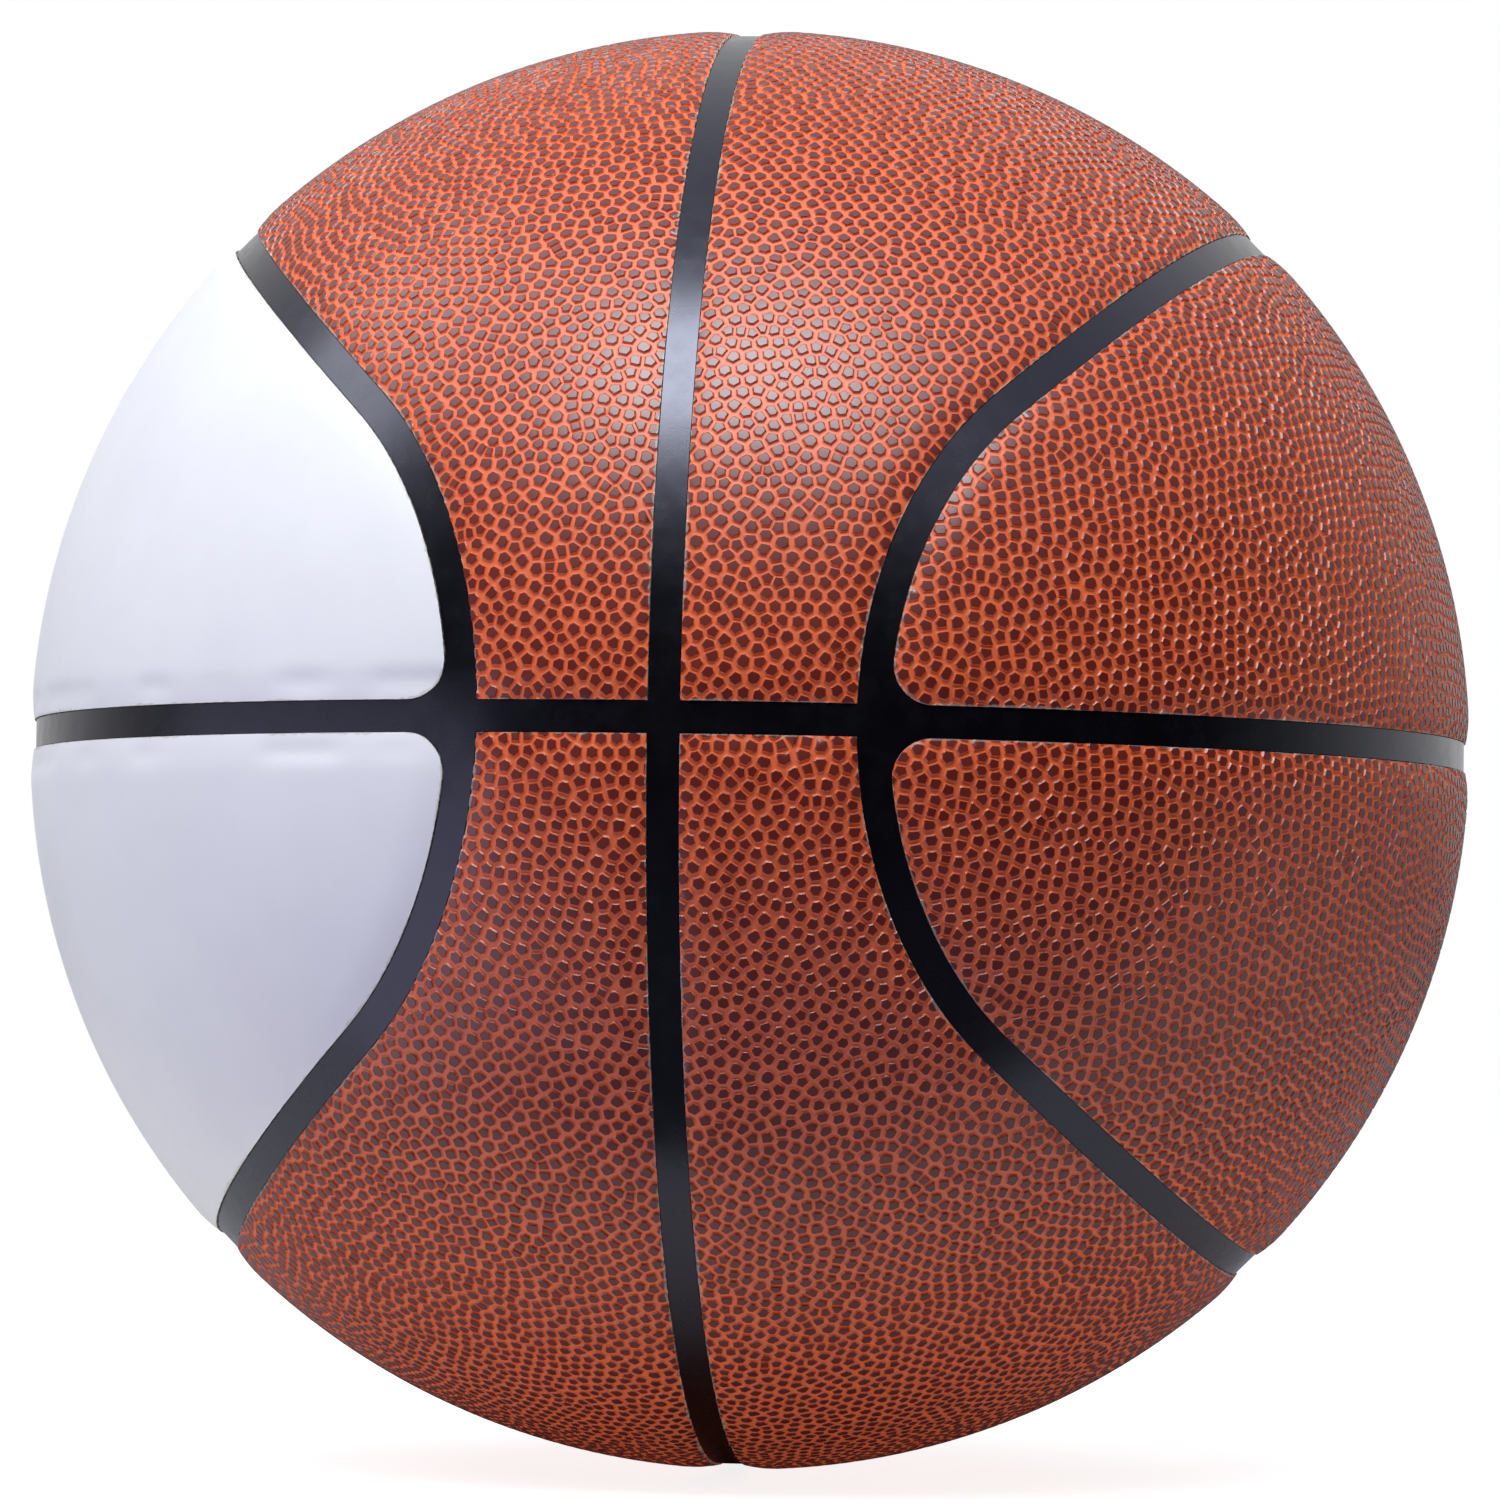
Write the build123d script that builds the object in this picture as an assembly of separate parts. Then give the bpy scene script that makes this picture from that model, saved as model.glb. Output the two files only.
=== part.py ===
from build123d import *

import math
import os

# An inflated basketball as the layers it is made of, in millimetres. The origin is the ball's centre, +Z is up
# and -Y is the side that faces the viewer. The upright seam lies in the plane x = 0, the level seam in the plane
# z = 0, and a closed oval seam rings each of the sides -X and +X. Every outline below is a seam's centre line,
# and each layer keeps its own distance from that line.

# The ball's girth over the crowns of its panels
ball_girth = 749.3

# Layers from the outside in, and the film of cement between them
cover_thickness = 1.3
pad_thickness = 1.2
carcass_thickness = 0.9
winding_thickness = 0.6
bladder_thickness = 0.9
cement_film = 0.05

# Channels: the width between the panels' cut edges, the depth of the black rib's top below the crowns, and the
# gap from a cut edge to the rib
channel_width = 5.0
channel_depth = 0.9
edge_gap = 0.15

# A panel's edge falls away to the channel: how far in from the cut edge it starts, how far it drops there, and
# how much the slope swells between the two
edge_slope = 5.5
edge_drop = 0.6
edge_swell = 0.17

# Oval seam: two great circles that slope away from the level seam, closed at the front and back by round ends.
# The waist is measured over the surface, from the upright seam to the oval's end. Its meetings with the level
# seam are rounded on the side panels alone.
oval_slope_degrees = 45
oval_waist = 31.5
corner_radius = 8.5

# Valve, on a panel at the back: its distance over the surface from the upright seam, and its climb from the
# back meeting of the seams
valve_from_seam = 17.0
valve_climb_degrees = 50

# Valve seat: a rubber boss inside the bladder, with a neck that comes up through the layers
seat_flange_radius = 14.0
seat_flange_thickness = 1.6
seat_neck_radius = 4.6
seat_neck_recess = 0.35
seat_tail_radius = 5.6
seat_tail_length = 9.0

# Valve plug: a stepped rubber plug with the needle's bore
plug_head_radius = 3.4
plug_head_thickness = 1.5
plug_stem_radius = 2.7
plug_nose_radius = 0.8
plug_clearance = 0.05
plug_head_recess = 0.15
needle_bore_radius = 1.1
needle_bore_length = 11.0
needle_mouth_radius = 1.7
needle_mouth_depth = 0.7

# How far every cut runs past what it cuts
overrun = 1.0

ball_radius = ball_girth / (2 * math.pi)
half_channel = channel_width / 2
rib_radius = ball_radius - channel_depth
pad_outer_radius = ball_radius - cover_thickness - cement_film
pad_inner_radius = pad_outer_radius - pad_thickness
pocket_radius = pad_inner_radius - cement_film
carcass_inner_radius = pocket_radius - carcass_thickness
winding_outer_radius = carcass_inner_radius - cement_film
winding_inner_radius = winding_outer_radius - winding_thickness
bladder_outer_radius = winding_inner_radius - cement_film
bladder_inner_radius = bladder_outer_radius - bladder_thickness

right = Vector(1, 0, 0)
front = Vector(0, -1, 0)
up = Vector(0, 0, 1)


def direction(turn, climb):
    """Unit vector that is turned from the front towards the right, then climbs above the level seam, in radians."""
    return Vector(math.cos(climb) * math.sin(turn), -math.cos(climb) * math.cos(turn), math.sin(climb))


def half_space(normal, offset):
    """The ground beyond a plane square to the normal and offset along it from the ball's centre."""
    side = 4 * ball_radius
    return Plane(origin=normal * offset, z_dir=normal) * Pos(0, 0, side / 2) * Box(side, side, side)


def cone_ground(axis, half_angle, offset):
    """The ground inside a cone about an axis from the ball's centre, its wall moved inwards by the offset."""
    height = 2 * ball_radius
    apex = axis * (offset / math.sin(half_angle))
    solid = Cone(0, height * math.tan(half_angle), height)
    return Plane(origin=apex, z_dir=axis) * Pos(0, 0, height / 2) * solid


def shell(outer_radius, inner_radius):
    """A hollow sphere."""
    return Sphere(outer_radius) - Sphere(inner_radius)


# The round end of the oval is a circle on the ball that touches both sloping great circles and crosses the level
# seam at the waist. Spherical trigonometry gives its radius as an angle, its centre and where it touches.
oval_slope = math.radians(oval_slope_degrees)
waist_angle = oval_waist / ball_radius
end_angle = math.atan2(
    math.sin(oval_slope) * math.sin(waist_angle),
    1 - math.sin(oval_slope) * math.cos(waist_angle),
)
end_turn = waist_angle + end_angle
end_axis = direction(end_turn, 0)
touch_angle = math.atan(math.tan(end_turn) * math.cos(oval_slope))
touch = Vector(
    math.sin(touch_angle) * math.cos(oval_slope),
    -math.cos(touch_angle),
    math.sin(touch_angle) * math.sin(oval_slope),
)
slope_normal = Vector(math.sin(oval_slope), 0, -math.cos(oval_slope))
end_normal = end_axis.cross(touch).normalized()

# The rounded corner is a small circle that touches the level seam and, from inside, the oval's end.
corner_angle = corner_radius / ball_radius
corner_turn = end_turn - math.acos(math.cos(end_angle - corner_angle) / math.cos(corner_angle))
corner_axis = direction(corner_turn, corner_angle)
corner_low_normal = direction(corner_turn - math.pi / 2, 0)
corner_high_normal = end_axis.cross(corner_axis).normalized()


end_stretch = half_space(end_normal, 0)
corner_stretch = half_space(corner_low_normal, 0) & half_space(corner_high_normal, 0)


def both_ends(solid):
    """The solid at the front and its mirror image at the back."""
    return [solid, mirror(solid, about=Plane.XZ)]


def with_ends(solid, stretch, end):
    """The solid with another shape in its place on the stretch at the front, and likewise at the back."""
    for place in both_ends(stretch):
        solid = solid - place
    for piece in both_ends(end & stretch):
        solid = solid + piece
    return solid


def oval_ground(inset):
    """Ground inside the oval above the level seam, kept inset from the oval's line."""
    end = cone_ground(end_axis, end_angle, inset)
    return with_ends(half_space(slope_normal, inset), end_stretch, end)


def band_ground(inset):
    """Ground of the upper right band panel, between the upright seam and the oval, kept inset from its seams."""
    return (half_space(right, inset) & half_space(up, inset)) - oval_ground(-inset)


def side_ground(inset):
    """Ground of the upper right side panel, inside the oval and above the level seam, kept inset from both."""
    corner = cone_ground(corner_axis, corner_angle, inset)
    return with_ends(oval_ground(inset) & half_space(up, inset), corner_stretch, corner)


def edge_groove(axis, seam_angle, aside):
    """Ring that slopes the panels' edges along a circular seam: a section across the seam, turned about its axis.

    The section lies in the plane of the axis and the aside vector, which is square to it, and stays on its own
    side of the axis. From each side of the rib it runs up, by a swelling arc, to the crown.
    """
    outward = axis * math.cos(seam_angle) + aside * math.sin(seam_angle)
    across = aside * math.cos(seam_angle) - axis * math.sin(seam_angle)
    crown_angle = (half_channel + edge_slope) / ball_radius
    crown_x = ball_radius * math.sin(crown_angle)
    crown_y = ball_radius * math.cos(crown_angle)
    rib_x = half_channel - edge_gap
    rib_y = ball_radius - edge_drop
    top_y = ball_radius + overrun
    outline = [
        SagittaArc((rib_x, rib_y), (crown_x, crown_y), -edge_swell),
        Polyline((crown_x, crown_y), (crown_x, top_y), (-crown_x, top_y), (-crown_x, crown_y)),
        SagittaArc((-crown_x, crown_y), (-rib_x, rib_y), -edge_swell),
        Line((-rib_x, rib_y), (rib_x, rib_y)),
    ]
    section = Plane(origin=(0, 0, 0), x_dir=across, z_dir=across.cross(outward)) * make_face(outline)
    return revolve(section & half_space(aside, 0), axis=Axis((0, 0, 0), axis))


upright_groove = edge_groove(right, math.pi / 2, up)
level_groove = edge_groove(up, math.pi / 2, right)
end_groove = edge_groove(end_axis, end_angle, up)
oval_groove = with_ends(edge_groove(slope_normal, math.pi / 2, front), end_stretch, end_groove)
corner_groove = edge_groove(corner_axis, corner_angle, corner_low_normal) & corner_stretch


def cover(ground, grooves):
    """A panel's cover: the outer shell over its ground, sloped along its edges."""
    panel = shell(ball_radius, ball_radius - cover_thickness) & ground
    for groove in grooves:
        panel = panel - groove
    return panel


def four_ways(solid):
    """The upper right solid, its two mirror images and its half turn, by the place they have on the ball."""
    return {
        "upper_right": solid,
        "upper_left": mirror(solid, about=Plane.YZ),
        "lower_right": mirror(solid, about=Plane.XY),
        "lower_left": Rot(0, 180, 0) * solid,
    }


pieces = {}
pad_shell = shell(pad_outer_radius, pad_inner_radius)
panel_kinds = {
    "band": (band_ground, [upright_groove, level_groove, oval_groove]),
    "side": (side_ground, [level_groove, oval_groove] + both_ends(corner_groove)),
}
# The carcass is a ball with a pocket for each panel, which leaves its ribs standing. Its sphere is turned so that
# its poles fall in two pockets, clear of the ribs.
carcass = Plane(origin=(0, 0, 0), z_dir=direction(math.pi / 2, oval_slope / 2)) * Sphere(rib_radius)
pocket_shell = shell(ball_radius + overrun, pocket_radius)
for kind, (ground, grooves) in panel_kinds.items():
    for place, solid in four_ways(cover(ground(half_channel), grooves)).items():
        pieces[f"{place}_{kind}_cover"] = solid
    for place, solid in four_ways(pad_shell & ground(half_channel)).items():
        pieces[f"{place}_{kind}_pad"] = solid
    for pocket in four_ways(pocket_shell & ground(half_channel - edge_gap)).values():
        carcass = carcass - pocket
pieces["carcass"] = carcass - Sphere(carcass_inner_radius)
pieces["thread_winding"] = shell(winding_outer_radius, winding_inner_radius)
pieces["bladder"] = shell(bladder_outer_radius, bladder_inner_radius)

# The valve is made upright, with its axis as Z from the ball's centre, and then laid along its place on the ball.
valve_turn = math.pi - valve_from_seam / ball_radius
valve_axis = direction(valve_turn, 0).rotate(Axis.X, valve_climb_degrees)
valve_plane = Plane(origin=(0, 0, 0), x_dir=right.cross(valve_axis), z_dir=valve_axis)


def barrel(radius, low, high):
    """A round bar about Z between two heights."""
    return Pos(0, 0, (low + high) / 2) * Cylinder(radius, high - low)


neck_top = ball_radius - seat_neck_recess
head_top = neck_top - plug_head_recess
head_low = head_top - plug_head_thickness
flange_outer_radius = bladder_inner_radius - cement_film
flange_rim = math.sqrt(flange_outer_radius**2 - seat_flange_radius**2)
flange_low = flange_rim - seat_flange_thickness
tail_low = flange_low - seat_tail_length

flange = barrel(seat_flange_radius, flange_low, flange_outer_radius) & Sphere(flange_outer_radius)
seat = flange + barrel(seat_neck_radius, flange_low, neck_top) + barrel(seat_tail_radius, tail_low, flange_low)
seat = seat - barrel(plug_stem_radius + plug_clearance, tail_low - overrun, neck_top)
seat = seat - barrel(plug_head_radius + plug_clearance, head_low - plug_clearance, neck_top + overrun)

plug = barrel(plug_head_radius, head_low, head_top) + barrel(plug_stem_radius, tail_low, head_low)
plug = fillet(plug.edges().group_by(Axis.Z)[0], plug_nose_radius)
bore_top = head_top - needle_mouth_depth
bore_low = bore_top - needle_bore_length
plug = plug - barrel(needle_bore_radius, bore_low, head_top)
mouth = Cone(needle_bore_radius, needle_mouth_radius, needle_mouth_depth)
plug = plug - Pos(0, 0, head_top - needle_mouth_depth / 2) * mouth

neck_hole = valve_plane * barrel(seat_neck_radius + cement_film, 0, ball_radius + overrun)
for name in ("upper_right_band_cover", "upper_right_band_pad", "carcass", "thread_winding", "bladder"):
    pieces[name] = pieces[name] - neck_hole
pieces["valve_seat"] = valve_plane * seat
pieces["valve_plug"] = valve_plane * plug

os.makedirs("parts", exist_ok=True)
for name, solid in pieces.items():
    export_step(solid, f"parts/{name}.step")
    print(name, "solids", len(solid.solids()), "volume", round(solid.volume))
print("valve axis", [round(value, 6) for value in valve_axis])
print("needle bore from", round(bore_low, 4), "to", round(bore_top, 4), "along it")
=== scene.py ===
import math

import bpy
import numpy as np
from mathutils import Matrix, Vector
from mathutils.geometry import delaunay_2d_cdt


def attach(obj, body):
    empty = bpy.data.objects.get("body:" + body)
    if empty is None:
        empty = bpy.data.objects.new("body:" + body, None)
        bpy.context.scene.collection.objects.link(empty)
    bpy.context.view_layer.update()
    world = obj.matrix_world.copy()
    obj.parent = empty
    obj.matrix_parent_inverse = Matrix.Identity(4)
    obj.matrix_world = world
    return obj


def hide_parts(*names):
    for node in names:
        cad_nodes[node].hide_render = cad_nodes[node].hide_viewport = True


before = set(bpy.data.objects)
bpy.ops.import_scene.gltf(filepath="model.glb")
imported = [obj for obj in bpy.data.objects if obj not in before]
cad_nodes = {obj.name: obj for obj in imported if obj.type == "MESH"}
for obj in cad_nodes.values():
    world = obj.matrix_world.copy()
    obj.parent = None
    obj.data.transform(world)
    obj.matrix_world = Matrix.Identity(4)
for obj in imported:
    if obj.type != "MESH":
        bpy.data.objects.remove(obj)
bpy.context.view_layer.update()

# Bladder: a thin sphere of black butyl rubber that holds the air. It is moulded, dusted with chalk so that the
# winding slips over it, and lies innermost of all.
bladder_black = (0.018, 0.018, 0.02, 1)
chalk_grey = (0.16, 0.16, 0.155, 1)


def add_node(material, kind, settings=None, inputs=None):
    """A node of a kind in a material, with its settings, and its inputs set to values or linked to sockets."""
    tree = material.node_tree
    node = tree.nodes.new(kind)
    for name, value in (settings or {}).items():
        setattr(node, name, value)
    for name, value in (inputs or {}).items():
        if isinstance(value, bpy.types.NodeSocket):
            tree.links.new(value, node.inputs[name])
        else:
            node.inputs[name].default_value = value
    return node


def noise_of(material, scale, detail=4.0, roughness=0.55):
    """Cloudy noise through the piece, as a value from 0 to 1. Scale is the number of clouds in a metre."""
    place = add_node(material, "ShaderNodeTexCoord").outputs["Object"]
    inputs = {"Vector": place, "Scale": scale, "Detail": detail, "Roughness": roughness}
    return add_node(material, "ShaderNodeTexNoise", inputs=inputs).outputs["Fac"]


def between(material, value, low, high, new_low=0.0, new_high=1.0):
    """A value carried smoothly from the stretch low to high onto the stretch new_low to new_high."""
    inputs = {"Value": value, "From Min": low, "From Max": high, "To Min": new_low, "To Max": new_high}
    return add_node(material, "ShaderNodeMapRange", {"interpolation_type": "SMOOTHSTEP"}, inputs).outputs["Result"]


def blend_of(material, share, first, second):
    """The first colour where the share is 0 and the second where it is 1."""
    node = add_node(material, "ShaderNodeMix", {"data_type": "RGBA"})
    tree = material.node_tree
    tree.links.new(share, node.inputs["Factor"])
    for socket, colour in ((node.inputs[6], first), (node.inputs[7], second)):
        if isinstance(colour, bpy.types.NodeSocket):
            tree.links.new(colour, socket)
        else:
            socket.default_value = colour
    return node.outputs[2]


def finish(name, colour, roughness, height, bump_distance, **constants):
    """A material whose shader takes its colour, roughness and bump height from functions of the material."""
    material = bpy.data.materials.new(name)
    material.use_nodes = True
    tree = material.node_tree
    shader = tree.nodes["Principled BSDF"]
    for socket, value in constants.items():
        shader.inputs[socket.replace("_", " ").title().replace("Ior", "IOR")].default_value = value
    tree.links.new(colour(material), shader.inputs["Base Color"])
    tree.links.new(roughness(material), shader.inputs["Roughness"])
    bump = add_node(material, "ShaderNodeBump", inputs={"Height": height(material), "Distance": bump_distance})
    tree.links.new(bump.outputs["Normal"], shader.inputs["Normal"])
    return material


def moulded_rubber(name, black, dust, dust_share, smooth, rough, grain, grain_depth, **constants):
    """Rubber from a mould: cloudy dust over the black, uneven gloss, and the mould's fine grain."""
    return finish(
        name,
        lambda m: blend_of(m, between(m, noise_of(m, 90, 6), 0.5, 0.8, 0.0, dust_share), black, dust),
        lambda m: between(m, noise_of(m, 260, 5), 0.3, 0.7, smooth, rough),
        lambda m: noise_of(m, grain, 3),
        grain_depth,
        **constants,
    )


def dress(node, material):
    """Puts a material on a solid that is kept as it is."""
    cad_nodes[node].data.materials.clear()
    cad_nodes[node].data.materials.append(material)


dress("bladder", moulded_rubber(
    "bladder_butyl", bladder_black, chalk_grey, 0.7, 0.55, 0.8, 2500, 0.00005
))

# Valve seat: a rubber boss bonded inside the bladder. Its neck comes up through every layer to the cover, and its
# bore grips the plug. It is moulded in one piece and left with a satin skin.
seat_black = (0.014, 0.014, 0.015, 1)
seat_dust = (0.07, 0.068, 0.065, 1)
dress("valve_seat", moulded_rubber(
    "valve_seat_rubber", seat_black, seat_dust, 0.45, 0.38, 0.58, 3000, 0.00003
))

# Carcass: a shell of black rubber moulded over the winding. Its ribs stand up between the panels, and their tops are
# the smooth black channels, with handling dust and a little bloom.
channel_black = (0.0012, 0.0012, 0.002, 1)
channel_dust = (0.016, 0.016, 0.022, 1)
channel_bloom = (0.8, 0.82, 1.0, 1)
dress("carcass", moulded_rubber(
    "channel_rubber", channel_black, channel_dust, 0.1, 0.235, 0.285, 3500, 0.00001,
    specular_tint=channel_bloom,
    specular_ior_level=1.0,
))

# Foam pads: one die-cut sheet of pale foam under each panel, cemented into the carcass's pocket. Its edge is
# pressed down a little all round, as the panel's is.
ball_radius = 0.7493 / (2 * math.pi)
half_channel = 0.0025
oval_slope = math.radians(45)
oval_waist = 0.0315
corner_radius = 0.0085
pad_outer = ball_radius - 0.00135
pad_inner = ball_radius - 0.00255
pad_edge_drop = 0.0003
pad_cell = 0.0036**2
trim_snap = 0.00002
shortest_side = 0.0001
foam_pale = (0.70, 0.64, 0.50, 1)
foam_shade = (0.52, 0.45, 0.33, 1)
places = {"upper_right": (1, 1), "upper_left": (-1, 1), "lower_right": (1, -1), "lower_left": (-1, -1)}


def direction(turn, climb):
    """Unit vector that is turned from the front towards the right, then climbs above the level seam."""
    return np.array([math.cos(climb) * math.sin(turn), -math.cos(climb) * math.cos(turn), math.sin(climb)])


def unit(vectors):
    """Vectors at the length of one."""
    return vectors / np.linalg.norm(vectors, axis=-1, keepdims=True)


# The oval is two great circles at the slope, closed by round ends that touch them and cross the level seam at the
# waist. A small circle rounds each side panel's corner there.
waist_angle = oval_waist / ball_radius
end_angle = math.atan2(
    math.sin(oval_slope) * math.sin(waist_angle), 1 - math.sin(oval_slope) * math.cos(waist_angle)
)
end_turn = waist_angle + end_angle
end_axis = direction(end_turn, 0)
touch_angle = math.atan(math.tan(end_turn) * math.cos(oval_slope))
touch = np.array([
    math.sin(touch_angle) * math.cos(oval_slope),
    -math.cos(touch_angle),
    math.sin(touch_angle) * math.sin(oval_slope),
])
slope_normal = np.array([math.sin(oval_slope), 0, -math.cos(oval_slope)])
end_normal = unit(np.cross(end_axis, touch))
corner_angle = corner_radius / ball_radius
corner_turn = end_turn - math.acos(math.cos(end_angle - corner_angle) / math.cos(corner_angle))
corner_axis = direction(corner_turn, corner_angle)
corner_low_normal = direction(corner_turn - math.pi / 2, 0)
corner_high_normal = unit(np.cross(end_axis, corner_axis))

# The valve's neck comes through one band panel, at the back.
valve_from_seam = 0.017
valve_climb = math.radians(50)
neck_hole_radius = 0.00465
valve_level = direction(math.pi - valve_from_seam / ball_radius, 0)
valve_axis = np.array([
    valve_level[0],
    valve_level[1] * math.cos(valve_climb),
    valve_level[1] * math.sin(valve_climb),
])


def arc_from(axis, points):
    """Angle at the ball's centre between an axis and each point's direction."""
    return np.arccos(np.clip(points @ axis, -1, 1))


def insets(kind, points):
    """How far points lie in from the seams round the upper right band or side panel, over the surface.

    A great circle's distance is the arc sine of the height over its plane, a small circle's is its own angle less
    the angle from its axis. The back end mirrors the front end. A band has a row for each of its three seams, a
    side panel one row for its whole rounded outline.
    """
    at = unit(points)
    ahead = at * (1, 0, 1) - np.abs(at) * (0, 1, 0)
    level = np.arcsin(at[:, 2])
    at_end = ahead @ end_normal > 0
    oval = np.where(at_end, end_angle - arc_from(end_axis, ahead), np.arcsin(ahead @ slope_normal))
    if kind == "band":
        return ball_radius * np.stack([np.arcsin(at[:, 0]), level, -oval])
    in_corner = (ahead @ corner_low_normal > 0) & (ahead @ corner_high_normal > 0)
    rounded = corner_angle - arc_from(corner_axis, ahead)
    return ball_radius * np.where(in_corner, rounded, np.minimum(level, oval))[None]


def triangles_over(points, edges=()):
    """Triangles among points on the ball whose circles hold no other point, all facing outwards.

    The points are thrown onto a plane from the far side of the ball, which keeps circles circles, and joined there
    into faces that turn to the left.
    """
    at = unit(points)
    middle = unit(at.mean(0))
    east = unit(np.cross((0.3, 0.5, 0.8), middle))
    flat = np.stack([at @ east, at @ np.cross(middle, east)], axis=1) / (1 + at @ middle)[:, None]
    found = delaunay_2d_cdt([Vector(p) for p in flat], list(edges), [], 0, 1e-10)
    given = np.array([origin[0] if origin else -1 for origin in found[3]])
    faces = given[np.array(found[2])]
    return faces[faces.min(1) >= 0]


def spread_over(kind, cell_area, shake, rounds, seed):
    """Points spread over a panel and a margin round it, one to each cell area, with the triangles among them.

    They start on a sunflower spiral over the ball, are shaken, and are evened by moving each to the middle of the
    circle centres around it.
    """
    source = np.random.default_rng(seed)
    spacing = math.sqrt(cell_area)
    count = round(4 * math.pi * ball_radius**2 / cell_area)
    step = np.arange(count)
    height = 1 - (2 * step + 1) / count
    turn = step * math.pi * (3 - math.sqrt(5))
    ring = np.sqrt(1 - height**2)
    points = np.stack([ring * np.cos(turn), ring * np.sin(turn), height], axis=1)
    points = points @ np.linalg.qr(source.normal(size=(3, 3)))[0]
    points = ball_radius * unit(points + source.normal(size=points.shape) * shake * spacing / ball_radius)
    points = points[insets(kind, points).min(0) > -3 * spacing]
    for _ in range(rounds):
        faces = triangles_over(points)
        total = np.zeros_like(points)
        np.add.at(total, faces.ravel(), np.repeat(circle_centres(points, faces), 3, axis=0))
        free = insets(kind, points).min(0) > -1.5 * spacing
        points[free] = ball_radius * unit(total[free])
    return points, triangles_over(points)


def circle_centres(points, faces):
    """The point on the ball at the same distance from a triangle's three corners, along the triangle's normal."""
    a, b, c = (points[faces[:, k]] for k in range(3))
    return ball_radius * unit(np.cross(b - a, c - a))


def trimmed(columns, faces, distance):
    """The faces on the side of a line where distance is positive, cut along it.

    The columns hold a row of values for each vertex. Where an edge crosses the line it gets a new vertex, with
    values in proportion, and what is left of a face is one triangle or two. A vertex almost on the line counts as
    on it.
    """
    distance = np.where(np.abs(distance) < trim_snap, 0.0, distance)
    inside = distance >= 0
    count = inside[faces].sum(1)
    odd = np.where(count == 1, inside[faces].argmax(1), inside[faces].argmin(1))
    a, b, c = (faces[np.arange(len(faces)), (odd + k) % 3] for k in range(3))
    one, two = count == 1, count == 2
    cut = one | two
    pairs = np.sort(np.concatenate([np.stack([a, b], 1)[cut], np.stack([a, c], 1)[cut]]), axis=1)
    pairs, number = np.unique(pairs, axis=0, return_inverse=True)
    first, last = distance[pairs[:, 0]], distance[pairs[:, 1]]
    new = np.arange(len(pairs)) + len(columns)
    new = np.where(first == 0, pairs[:, 0], np.where(last == 0, pairs[:, 1], new))
    number = new[number].reshape(2, -1)
    share = (first / (first - last))[:, None]
    columns = np.concatenate([columns, columns[pairs[:, 0]] * (1 - share) + columns[pairs[:, 1]] * share])
    ab, ac = np.zeros(len(faces), int), np.zeros(len(faces), int)
    ab[cut], ac[cut] = number
    left = [
        faces[count == 3],
        np.stack([a, ab, ac], 1)[one],
        np.stack([ab, b, c], 1)[two],
        np.stack([ab, c, ac], 1)[two],
    ]
    faces = np.concatenate(left)
    whole = (faces != faces[:, [1, 2, 0]]).all(1)
    used, faces = np.unique(faces[whole], return_inverse=True)
    return columns[used], faces.reshape(-1, 3)


def open_sides_of(faces):
    """The sides of faces that no other face runs along the other way."""
    sides = np.concatenate([faces[:, [0, 1]], faces[:, [1, 2]], faces[:, [2, 0]]])
    span = faces.max() + 1
    return sides[~np.isin(sides[:, 0] * span + sides[:, 1], sides[:, 1] * span + sides[:, 0])]


def rim_evened(columns, faces):
    """Closes up open sides that are too short, by moving a side's end onto its start, until none is left.

    Two faces that come to lie back to back on the same corners are both taken out.
    """
    while True:
        open_sides = open_sides_of(faces)
        reach = np.linalg.norm(columns[open_sides[:, 0], :3] - columns[open_sides[:, 1], :3], axis=1)
        short = open_sides[reach < shortest_side]
        if not len(short):
            return columns, faces, open_sides
        short = short[~np.isin(short[:, 0], short[:, 1])]
        moved = np.arange(len(columns))
        moved[short[:, 1]] = short[:, 0]
        faces = moved[faces]
        faces = faces[(faces != faces[:, [1, 2, 0]]).all(1)]
        _, same, times = np.unique(np.sort(faces, axis=1), axis=0, return_inverse=True, return_counts=True)
        faces = faces[times[same.ravel()] == 1]
        used, faces = np.unique(faces, return_inverse=True)
        columns, faces = columns[used], faces.reshape(-1, 3)


def inside_of(faces, outline):
    """Which faces lie inside an outline of sides.

    They are the faces that run along one of its sides, and all that are reached from those without crossing it.
    """
    span = faces.max() + 1
    walk = (faces * span + faces[:, [1, 2, 0]]).ravel()
    back = (faces[:, [1, 2, 0]] * span + faces).ravel()
    along = np.isin(walk, outline[:, 0] * span + outline[:, 1])
    against = np.isin(walk, outline[:, 1] * span + outline[:, 0])
    order = np.argsort(walk)
    found = order[np.searchsorted(walk[order], back).clip(max=len(walk) - 1)]
    joined = (walk[found] == back) & ~along & ~against
    across = np.where(joined, found, np.arange(len(walk))).reshape(-1, 3) // 3
    inside = along.reshape(-1, 3).any(1)
    reached = inside | inside[across].any(1)
    while (reached != inside).any():
        inside = reached
        reached = inside | inside[across].any(1)
    return inside


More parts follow.
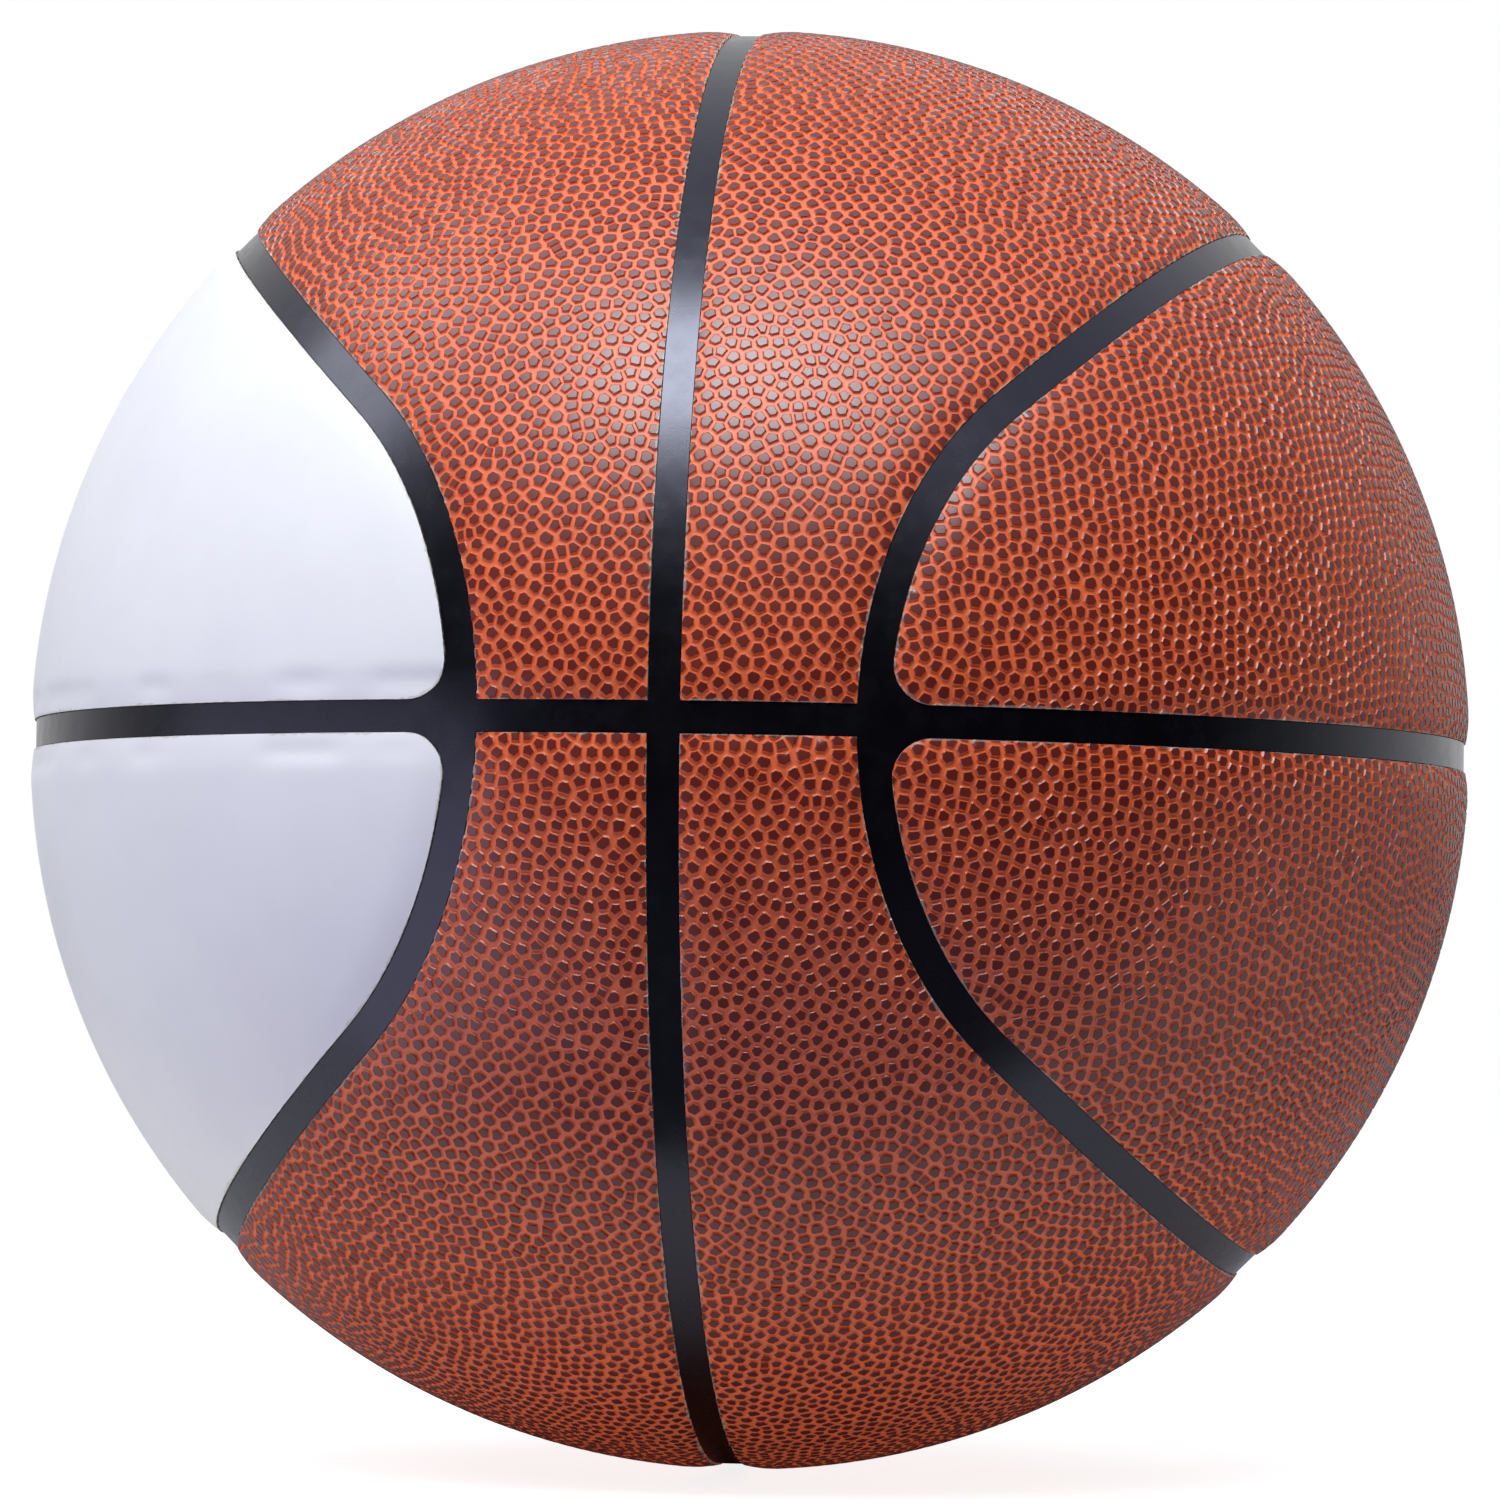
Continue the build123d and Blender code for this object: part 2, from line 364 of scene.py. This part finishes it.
def slab(kind, signs, columns, faces, radius_of, inner_radius, backing_area, hole):
    """A closed sheet on a panel's ground: its outer face, a wall round its cut edge, and its underside.

    The first three columns are places on the ball, trimmed to the panel's outline. radius_of lifts them to the outer
    face. The wall drops from each open edge to the inner radius, where the triangles inside the outline close the
    underside. The signs mirror the upper right panel to its own quarter. Gives the vertices, the faces, the number
    of outer faces, and the columns of the outer vertices.
    """
    for row in range(len(insets(kind, columns[:1, :3]))):
        columns, faces = trimmed(columns, faces, insets(kind, columns[:, :3])[row] - half_channel)
    if hole:
        away = ball_radius * arc_from(valve_axis, unit(columns[:, :3])) - neck_hole_radius
        columns, faces = trimmed(columns, faces, away)
    columns, faces, open_sides = rim_evened(columns, faces)
    rim, local = np.unique(open_sides, return_inverse=True)
    local = local.reshape(-1, 2)
    inner = spread_over(kind, backing_area, 0.1, 1, 7)[0]
    clear = insets(kind, inner).min(0) > half_channel + 0.4 * math.sqrt(backing_area)
    if hole:
        clear &= ball_radius * arc_from(valve_axis, unit(inner)) > neck_hole_radius + 0.0005
    under = np.concatenate([ball_radius * unit(columns[rim, :3]), inner[clear]])
    under_faces = triangles_over(under, local.tolist())
    under_faces = under_faces[inside_of(under_faces, local)]
    start = len(columns)
    a, b = open_sides.T
    a_low, b_low = local.T + start
    walls = np.concatenate([np.stack([b, a, a_low], 1), np.stack([b, a_low, b_low], 1)])
    outer = unit(columns[:, :3]) * radius_of(columns)[:, None]
    points = np.concatenate([outer, unit(under) * inner_radius])
    points = points * (signs[0], 1, signs[1])
    every = np.concatenate([faces, walls, under_faces[:, ::-1] + start])
    if signs[0] * signs[1] < 0:
        every = every[:, ::-1]
    return points, every, len(faces), columns


def piece_of(name, points, faces, materials, outer_count):
    """A mesh piece at the origin. The outer faces take the first material, its wall and underside the last."""
    mesh = bpy.data.meshes.new(name)
    mesh.vertices.add(len(points))
    mesh.vertices.foreach_set("co", points.astype(np.float32).ravel())
    mesh.loops.add(faces.size)
    mesh.loops.foreach_set("vertex_index", faces.astype(np.int32).ravel())
    mesh.polygons.add(len(faces))
    mesh.polygons.foreach_set("loop_start", np.arange(0, faces.size, 3, dtype=np.int32))
    for material in materials:
        mesh.materials.append(material)
    slots = np.where(np.arange(len(faces)) < outer_count, 0, len(materials) - 1)
    mesh.polygons.foreach_set("material_index", slots.astype(np.int32))
    mesh.update(calc_edges=True)
    mesh.validate()
    mesh.shade_smooth()
    mesh.set_sharp_from_angle(angle=math.radians(30))
    piece = bpy.data.objects.new(name, mesh)
    bpy.context.scene.collection.objects.link(piece)
    return piece


def edge_fall(kind, places_on, drop, reach):
    """How far an outer face has dropped near its edges: a parabola across each seam's slope, joined at corners."""
    nearness = 1 - np.clip((insets(kind, places_on) - half_channel) / reach, 0, 1)
    return drop * (1 - np.prod(1 - nearness**2, axis=0))


pad_foam = finish(
    "pad_foam",
    lambda m: blend_of(m, between(m, noise_of(m, 1400, 5), 0.35, 0.65), foam_pale, foam_shade),
    lambda m: between(m, noise_of(m, 900), 0.3, 0.7, 0.85, 1.0),
    lambda m: noise_of(m, 1800, 4, 0.7),
    0.0002,
)
for place, signs in places.items():
    for kind in ("band", "side"):
        node = f"{place}_{kind}_pad"
        columns, faces = spread_over(kind, pad_cell, 0.15, 1, 3)
        points, faces, outer_count, _ = slab(
            kind, signs, columns, faces,
            lambda c: pad_outer - edge_fall(kind, c[:, :3], pad_edge_drop, 0.003),
            pad_inner, 2 * pad_cell, node == "upper_right_band_pad",
        )
        pad = piece_of(f"{node}_foam", points, faces, [pad_foam], outer_count)
        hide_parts(node)
        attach(pad, "ball")

# Pebbled covers: six panels of two-tone synthetic leather, cut from an embossed sheet and cemented over the pads.
# Flat-topped pebbles stand up out of orange valleys, and brown is wiped over their tops and onto their walls. The
# cut edge goes right through the pebbles and shows the pale fibre backing.
cover_inner = ball_radius - 0.0013
edge_slope = 0.0055
edge_drop = 0.0006
pebble_area = 5.06e-6
pebble_height = 0.0004
pebble_shake = 0.24
pebble_rounds = 5
round_share = 0.7
pebble_rings = ((0.78, 0.12), (0.68, 0.72), (0.58, 0.97))
valley_orange = (0.82, 0.147, 0.034, 1)
valley_deep = (0.74, 0.129, 0.029, 1)
tip_brown = (0.125, 0.008, 0.0025, 1)
tip_worn = (0.16, 0.015, 0.006, 1)
tip_gloss = 1.0
valley_gloss = 0.85
backing_cream = (0.50, 0.44, 0.36, 1)
backing_dark = (0.05, 0.035, 0.03, 1)


def pebbles_over(kind, seed):
    """Raised pebbles over a panel's ground, as columns of place, rise, share and tint, and faces.

    Each point of a spread is a pebble's middle, and its cell runs through the circle centres around it. From the
    cell's border, the bottom of the valley, the pebble rises over its foot, its wall and its bevel to a flat top.
    Each ring has a vertex towards every corner of the cell and is rounded part of the way to a circle. The share
    column is 0 at a pebble's middle and 1 on the border, the tint column differs from pebble to pebble.
    """
    middles, triangles = spread_over(kind, pebble_area, pebble_shake, pebble_rounds, seed)
    borders = circle_centres(middles, triangles)
    owner, corner = triangles.ravel(), np.repeat(np.arange(len(triangles)), 3)
    whole = insets(kind, middles).min(0)[owner] > 0
    owner, corner = owner[whole], corner[whole]
    up = unit(middles[owner])
    east = unit(np.cross((0.36, 0.48, 0.8), up))
    offset = borders[corner] - middles[owner]
    bearing = np.arctan2((offset * np.cross(up, east)).sum(1), (offset * east).sum(1))
    order = np.lexsort((bearing, owner))
    owner, corner = owner[order], corner[order]
    _, start, size = np.unique(owner, return_index=True, return_counts=True)
    after = np.arange(len(owner)) + 1
    after[start + size - 1] = start
    cell = np.repeat(np.arange(len(start)), size)
    middle = middles[owner]
    to_corner = borders[corner] - middle
    reach = np.linalg.norm(to_corner, axis=1)
    mean_reach = (np.add.reduceat(reach, start) / size)[cell]
    rounded = to_corner * (1 - round_share + round_share * mean_reach / reach)[:, None]
    rows = [(borders, 0.0, 1.0)]
    rows += [(middle + rounded * share, rise, share) for share, rise in pebble_rings]
    rows += [(middles[owner[start]], 1.0, 0.0)]
    tint = np.random.default_rng(seed + 100).random(len(start))
    tints = [np.full(len(borders), 0.5), tint[cell], tint[cell], tint[cell], tint]
    columns = np.concatenate([
        np.column_stack([at, np.full(len(at), rise), np.full(len(at), share), shade])
        for (at, rise, share), shade in zip(rows, tints)
    ])
    first = np.cumsum([0] + [len(at) for at, _, _ in rows])
    here = np.arange(len(owner))
    rings = [(corner, corner[after])] + [(here + begin, after + begin) for begin in first[1:4]]
    faces = [np.stack([*rings[3], cell + first[4]], axis=1)]
    for (a, a_next), (b, b_next) in zip(rings, rings[1:]):
        faces += [np.stack([a, a_next, b_next], axis=1), np.stack([a, b_next, b], axis=1)]
    return columns, np.concatenate(faces)


def attribute_of(material, name):
    """A value that the piece's mesh carries from vertex to vertex."""
    return add_node(material, "ShaderNodeAttribute", {"attribute_name": name}).outputs["Fac"]


def uneven(material, value, scale, reach):
    """A value with noise added that reaches as far below and above it."""
    noise = between(material, noise_of(material, scale, 3), 0.3, 0.7, -reach, reach)
    total = add_node(material, "ShaderNodeMath", {"operation": "ADD"})
    material.node_tree.links.new(value, total.inputs[0])
    material.node_tree.links.new(noise, total.inputs[1])
    return total.outputs[0]


def frayed(material, colour):
    """A colour that gives way to the pale backing along the cut edge, here and there a little further in."""
    edge = uneven(material, uneven(material, attribute_of(material, "edge"), 700, 0.16), 90, 0.25)
    return blend_of(material, between(material, edge, 0.0, 0.22, 0.5, 0.0), colour, backing_cream)


pebbled_leather = finish(
    "pebbled_leather",
    lambda m: frayed(m, blend_of(
        m, between(m, uneven(m, attribute_of(m, "share"), 1500, 0.03), 0.62, 0.72, 1.0, 0.0),
        blend_of(m, between(m, noise_of(m, 160, 5), 0.35, 0.65), valley_orange, valley_deep),
        blend_of(m, attribute_of(m, "tint"), tip_brown, tip_worn),
    )),
    lambda m: between(m, attribute_of(m, "share"), 0.6, 0.75, 0.34, 0.45),
    lambda m: noise_of(m, 450, 6, 0.6),
    0.000015,
)
gloss = between(pebbled_leather, attribute_of(pebbled_leather, "share"), 0.62, 0.78, tip_gloss, valley_gloss)
leather_shader = pebbled_leather.node_tree.nodes["Principled BSDF"]
pebbled_leather.node_tree.links.new(gloss, leather_shader.inputs["Specular IOR Level"])
cut_fibre = finish(
    "cut_fibre",
    lambda m: blend_of(m, between(m, noise_of(m, 900, 6), 0.42, 0.62), backing_dark, backing_cream),
    lambda m: between(m, noise_of(m, 900), 0.3, 0.7, 0.8, 1.0),
    lambda m: noise_of(m, 4000, 4),
    0.0001,
)


def cover_radius(kind, columns):
    """The outer face's distance from the ball's centre: the crown, less its fall at the edges and the valleys."""
    fall = edge_fall(kind, columns[:, :3], edge_drop, edge_slope)
    return ball_radius - fall - pebble_height * (1 - columns[:, 3])


def edge_of(kind, columns):
    """How many millimetres each outer vertex lies in from the cut edge."""
    return (insets(kind, columns[:, :3]).min(0) - half_channel) * 1000


def carry(piece, name, values):
    """Puts a value for each outer vertex into a piece's mesh, with 0 on its wall and underside."""
    every = np.zeros(len(piece.data.vertices), np.float32)
    every[: len(values)] = values
    piece.data.attributes.new(name, "FLOAT", "POINT").data.foreach_set("value", every)


pebbled = ["upper_right_band", "upper_left_band", "lower_right_band", "lower_left_band"]
pebbled += ["upper_right_side", "lower_right_side"]
for seed, panel in enumerate(pebbled):
    place, kind = panel.rsplit("_", 1)
    columns, faces = pebbles_over(kind, seed)
    points, faces, outer_count, columns = slab(
        kind, places[place], columns, faces, lambda c: cover_radius(kind, c),
        cover_inner, 3 * pebble_area, panel == "upper_right_band",
    )
    cover = piece_of(f"{panel}_leather", points, faces, [pebbled_leather, cut_fibre], outer_count)
    carry(cover, "share", columns[:, 4])
    carry(cover, "tint", columns[:, 5])
    carry(cover, "edge", edge_of(kind, columns))
    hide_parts(f"{panel}_cover")
    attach(cover, "ball")

# White covers: the two panels inside the left oval, of smooth white synthetic leather on the same fibre backing.
# They are cut and cemented as the others are, and pucker a little where they turn down to the level channel.
smooth_cell = 0.0011**2
pucker_depth = 0.0005
pucker_inset = 0.0028
pucker_width = 0.0015
panel_white = (0.82, 0.825, 0.835, 1)
panel_shade = (0.785, 0.79, 0.805, 1)


def puckers(columns, seed):
    """How deep the puckers are: a bell-shaped groove beside the level channel, swelling and fading along it.

    Four waves of the turn round the ball, added up and held between a tenth and one, are the swelling.
    """
    source = np.random.default_rng(seed)
    at = unit(columns[:, :3])
    turn = np.arctan2(at[:, 0], -at[:, 1])
    waves = sum(np.sin(turn * count + source.uniform(0, 2 * math.pi)) for count in (9, 17, 26, 41)) / 4
    from_middle = ball_radius * np.arcsin(at[:, 2]) - half_channel - pucker_inset
    return pucker_depth * np.clip(0.4 + 1.4 * waves, 0.1, 1) * np.exp(-((from_middle / pucker_width) ** 2))


smooth_leather = finish(
    "smooth_white_leather",
    lambda m: frayed(m, blend_of(m, between(m, noise_of(m, 35, 5), 0.35, 0.7), panel_white, panel_shade)),
    lambda m: between(m, noise_of(m, 400, 4), 0.3, 0.7, 0.42, 0.55),
    lambda m: noise_of(m, 3000, 3),
    0.00001,
    specular_ior_level=0.3,
)
for seed, panel in enumerate(("upper_left_side", "lower_left_side")):
    place, kind = panel.rsplit("_", 1)
    columns, faces = spread_over(kind, smooth_cell, 0.1, 1, seed + 20)
    points, faces, outer_count, columns = slab(
        kind, places[place], columns, faces,
        lambda c: ball_radius - edge_fall(kind, c[:, :3], edge_drop, edge_slope) - puckers(c, seed),
        cover_inner, 3 * pebble_area, False,
    )
    cover = piece_of(f"{panel}_leather", points, faces, [smooth_leather, cut_fibre], outer_count)
    carry(cover, "edge", edge_of(kind, columns))
    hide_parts(f"{panel}_cover")
    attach(cover, "ball")

# Thread winding: nylon thread wound over the bladder in every direction and cemented into a felted shell. The last
# turns stand out on the felt, and all of them pass beside the valve's neck.
felt_outer = ball_radius - 0.00385
felt_inner = ball_radius - 0.0041
felt_rows, felt_columns = 72, 144
thread_turns = 84
thread_steps = 132
thread_width = 0.0011
thread_low = ball_radius - 0.0039
thread_high = ball_radius - 0.0036
neck_clear = 0.0062
pole_turns = 11
thread_white = (0.62, 0.60, 0.54, 1)
thread_shade = (0.36, 0.34, 0.30, 1)


def triangles_between(rows, across):
    """Pairs of triangles between the neighbouring rows of a grid of points that closes across."""
    row, column = np.meshgrid(np.arange(rows - 1), np.arange(across), indexing="ij")
    here, beside = row * across + column, row * across + (column + 1) % across
    first = np.stack([here, here + across, beside + across], -1)
    second = np.stack([here, beside + across, beside], -1)
    return np.concatenate([first.reshape(-1, 3), second.reshape(-1, 3)])


def felt_shell():
    """A sphere with a wall and a hole round the valve's neck, as points and faces.

    Its profile runs at the inner radius from the far side to the hole and back at the outer radius, and is turned
    about the valve's axis. A point on the axis closes each end.
    """
    east = unit(np.cross((0.3, 0.5, 0.8), valve_axis))
    north = np.cross(valve_axis, east)
    angle = np.linspace(neck_hole_radius / ball_radius, math.pi, felt_rows + 1)[:-1]
    angle = np.concatenate([angle[::-1], angle])[:, None, None]
    radius = np.repeat([felt_inner, felt_outer], felt_rows)[:, None, None]
    turn = np.linspace(0, 2 * math.pi, felt_columns, endpoint=False)[:, None]
    ring = np.cos(turn) * east + np.sin(turn) * north
    points = ((np.cos(angle) * valve_axis + np.sin(angle) * ring) * radius).reshape(-1, 3)
    column = np.arange(felt_columns)
    beside = (column + 1) % felt_columns
    start = len(points) - felt_columns
    inner_end = np.stack([column, beside, np.full(felt_columns, len(points))], 1)
    outer_end = np.stack([beside + start, column + start, np.full(felt_columns, len(points) + 1)], 1)
    faces = np.concatenate([triangles_between(2 * felt_rows, felt_columns), inner_end, outer_end])
    return np.concatenate([points, [-valve_axis * felt_inner, -valve_axis * felt_outer]]), faces


def wound_thread():
    """One flat thread, as points and faces: a rectangle carried along the winding's path.

    The path goes round and round a pole that wanders in a spiral from the top to the equator, so the turns cross
    each other everywhere. Where it would meet the neck, its angle from the valve's axis grows to the root of its
    square and the neck's square, which leads it past.
    """
    step = np.arange(thread_turns * thread_steps)
    part = step / len(step)
    tilt = np.arccos(1 - part)
    spin = part * 2 * math.pi * pole_turns
    first = np.stack([np.cos(tilt) * np.cos(spin), np.cos(tilt) * np.sin(spin), -np.sin(tilt)], 1)
    second = np.stack([-np.sin(spin), np.cos(spin), np.zeros(len(step))], 1)
    turn = (step * 2 * math.pi / thread_steps)[:, None]
    path = np.cos(turn) * first + np.sin(turn) * second
    angle = arc_from(valve_axis, path)[:, None]
    sideways = unit(path - np.cos(angle) * valve_axis)
    angle = np.sqrt(angle**2 + (neck_clear / ball_radius) ** 2 * np.exp(-4 * angle))
    path = np.cos(angle) * valve_axis + np.sin(angle) * sideways
    across = unit(np.cross(np.gradient(path, axis=0), path)) * thread_width / 2
    low, high = path * thread_low, path * thread_high
    points = np.stack([low - across, low + across, high + across, high - across], 1).reshape(-1, 3)
    last = len(points) - 4
    ends = np.array([[0, 1, 2], [0, 2, 3], [last, last + 2, last + 1], [last, last + 3, last + 2]])
    return points, np.concatenate([triangles_between(len(step), 4), ends])


felt_points, felt_faces = felt_shell()
thread_points, thread_faces = wound_thread()
wound_points = np.concatenate([felt_points, thread_points])
wound_faces = np.concatenate([felt_faces, thread_faces + len(felt_points)])
thread_felt = finish(
    "thread_felt",
    lambda m: blend_of(m, between(m, noise_of(m, 700, 6), 0.35, 0.65), thread_white, thread_shade),
    lambda m: between(m, noise_of(m, 300), 0.3, 0.7, 0.6, 0.85),
    lambda m: noise_of(m, 1200, 6),
    0.0003,
)
winding = piece_of("thread_winding_turns", wound_points, wound_faces, [thread_felt], len(wound_faces))
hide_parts("thread_winding")
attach(winding, "ball")

# Valve plug: a small stepped plug of grey-black rubber pressed into the seat's bore. The needle goes in through the
# mouth in its head.
plug_black = (0.022, 0.022, 0.024, 1)
plug_dust = (0.09, 0.088, 0.084, 1)
dress("valve_plug", moulded_rubber(
    "valve_plug_rubber", plug_black, plug_dust, 0.4, 0.36, 0.55, 3000, 0.00003
))

# Studio: the ball rests on a white floor before a white ground. A soft box hangs over it in front, a weaker one over
# it at the left, and a broad bluish one stands low at the left. The camera stands well back, a little to the right
# and just below the ball's middle.
camera_turns = (-6.25, -2.4, 0.71)
camera_radii = 9.0
outline_radius_px = 719.5
frame_px = 1500
sensor_mm = 36

turned = (
    Matrix.Rotation(math.radians(camera_turns[0]), 3, "Z")
    @ Matrix.Rotation(math.radians(camera_turns[1]), 3, "X")
    @ Matrix.Rotation(math.radians(camera_turns[2]), 3, "Y")
).transposed()
ahead = turned @ Vector((0, 1, 0))
upward = turned @ Vector((0, 0, 1))
camera = bpy.data.objects.new("camera", bpy.data.cameras.new("camera"))
camera.data.sensor_width = sensor_mm
camera.data.lens = outline_radius_px * math.sqrt(camera_radii**2 - 1) / frame_px * sensor_mm
camera.matrix_world = Matrix.Translation(-ahead * camera_radii * ball_radius) @ Matrix(
    (ahead.cross(upward), upward, -ahead)
).transposed().to_4x4()
bpy.context.scene.collection.objects.link(camera)
bpy.context.scene.camera = camera


def soft_box(name, place, size, watts, colour):
    """A flat lamp that faces the ball."""
    lamp = bpy.data.lights.new(name, "AREA")
    lamp.color = colour
    lamp.shape = "RECTANGLE"
    lamp.size, lamp.size_y = size
    lamp.energy = watts
    holder = bpy.data.objects.new(name, lamp)
    holder.location = place
    holder.rotation_euler = (-Vector(place)).to_track_quat("-Z", "Y").to_euler()
    bpy.context.scene.collection.objects.link(holder)


soft_box("front_box", (0.0, -0.59, 0.86), (0.78, 0.42), 9.2, (0.95, 0.97, 1.0))
soft_box("side_box", (-0.74, -0.14, 0.76), (0.5, 0.7), 2.8, (0.95, 0.97, 1.0))
soft_box("low_box", (-1.1, -0.55, -0.48), (1.5, 1.2), 6.0, (0.79, 0.77, 1.0))

# Round the ball the light comes from a pale dome above and weakly from below. Mirrored rays find a fainter dome, dark
# under it in front, and the white ground behind, and the camera sees only white.
dome_light = (0.98, 1.03, 1.16, 1)
dome_mirrored = (0.45, 0.46, 0.56, 1)
low_light = (0.64, 0.63, 0.9, 1)
low_mirrored = (0.04, 0.04, 0.055, 1)
unlit = (0, 0, 0, 1)
white = (1, 1, 1, 1)
world = bpy.data.worlds.new("studio")
world.use_nodes = True
bpy.context.scene.world = world
ground = world.node_tree.nodes["Background"]
path = add_node(world, "ShaderNodeLightPath")
seen = add_node(world, "ShaderNodeMath", {"operation": "MAXIMUM"})
world.node_tree.links.new(path.outputs["Is Camera Ray"], seen.inputs[0])
world.node_tree.links.new(path.outputs["Is Transmission Ray"], seen.inputs[1])
towards = add_node(world, "ShaderNodeTexCoord").outputs["Generated"]
way = add_node(world, "ShaderNodeSeparateXYZ", inputs={"Vector": towards}).outputs
below = between(world, way["Z"], -0.6, -0.2)
spread = blend_of(world, below, low_light, unlit)
spread = blend_of(world, between(world, way["Z"], 0.38, 1.0), spread, dome_light)
mirrored = blend_of(world, below, low_mirrored, unlit)
mirrored = blend_of(world, between(world, way["Z"], 0.4, 0.75), mirrored, dome_mirrored)
mirrored = blend_of(world, between(world, way["Y"], -0.15, 1.3), mirrored, white)
around = blend_of(world, path.outputs["Is Glossy Ray"], spread, mirrored)
world.node_tree.links.new(blend_of(world, seen.outputs[0], around, white), ground.inputs["Color"])

# The floor is white paper that ends a little before the ball. To the camera it is white, darker only where the ball
# keeps the light off it. To diffuse rays it also glows faintly, as a lamp would, and lights the ball from below.
floor_half = 3.0
floor_front = 0.12
paper_glow = 0.5
paper_white = 0.85
floor_corners = [(-floor_half, -floor_front), (floor_half, -floor_front)]
floor_corners += [(floor_half, floor_half), (-floor_half, floor_half)]
floor_mesh = bpy.data.meshes.new("floor")
floor_mesh.from_pydata([(x, y, -ball_radius) for x, y in floor_corners], [], [(0, 1, 2, 3)])
floor = bpy.data.objects.new("floor", floor_mesh)
bpy.context.scene.collection.objects.link(floor)
floor_paper = finish(
    "floor_paper",
    lambda m: blend_of(m, noise_of(m, 4), (0.46, 0.46, 0.47, 1), (0.44, 0.44, 0.45, 1)),
    lambda m: between(m, noise_of(m, 30), 0.3, 0.7, 0.8, 0.95),
    lambda m: noise_of(m, 800),
    0.0001,
)
paper_shader = floor_paper.node_tree.nodes["Principled BSDF"]
paper_shader.inputs["Emission Color"].default_value = (1, 1, 1, 1)
ray = add_node(floor_paper, "ShaderNodeLightPath").outputs
spread_glow = between(floor_paper, ray["Is Diffuse Ray"], 0, 1, 0, paper_glow)
shown_glow = between(floor_paper, ray["Is Camera Ray"], 0, 1, spread_glow, paper_white)
floor_paper.node_tree.links.new(shown_glow, paper_shader.inputs["Emission Strength"])
floor_mesh.materials.append(floor_paper)

bpy.context.scene.view_settings.view_transform = "Standard"
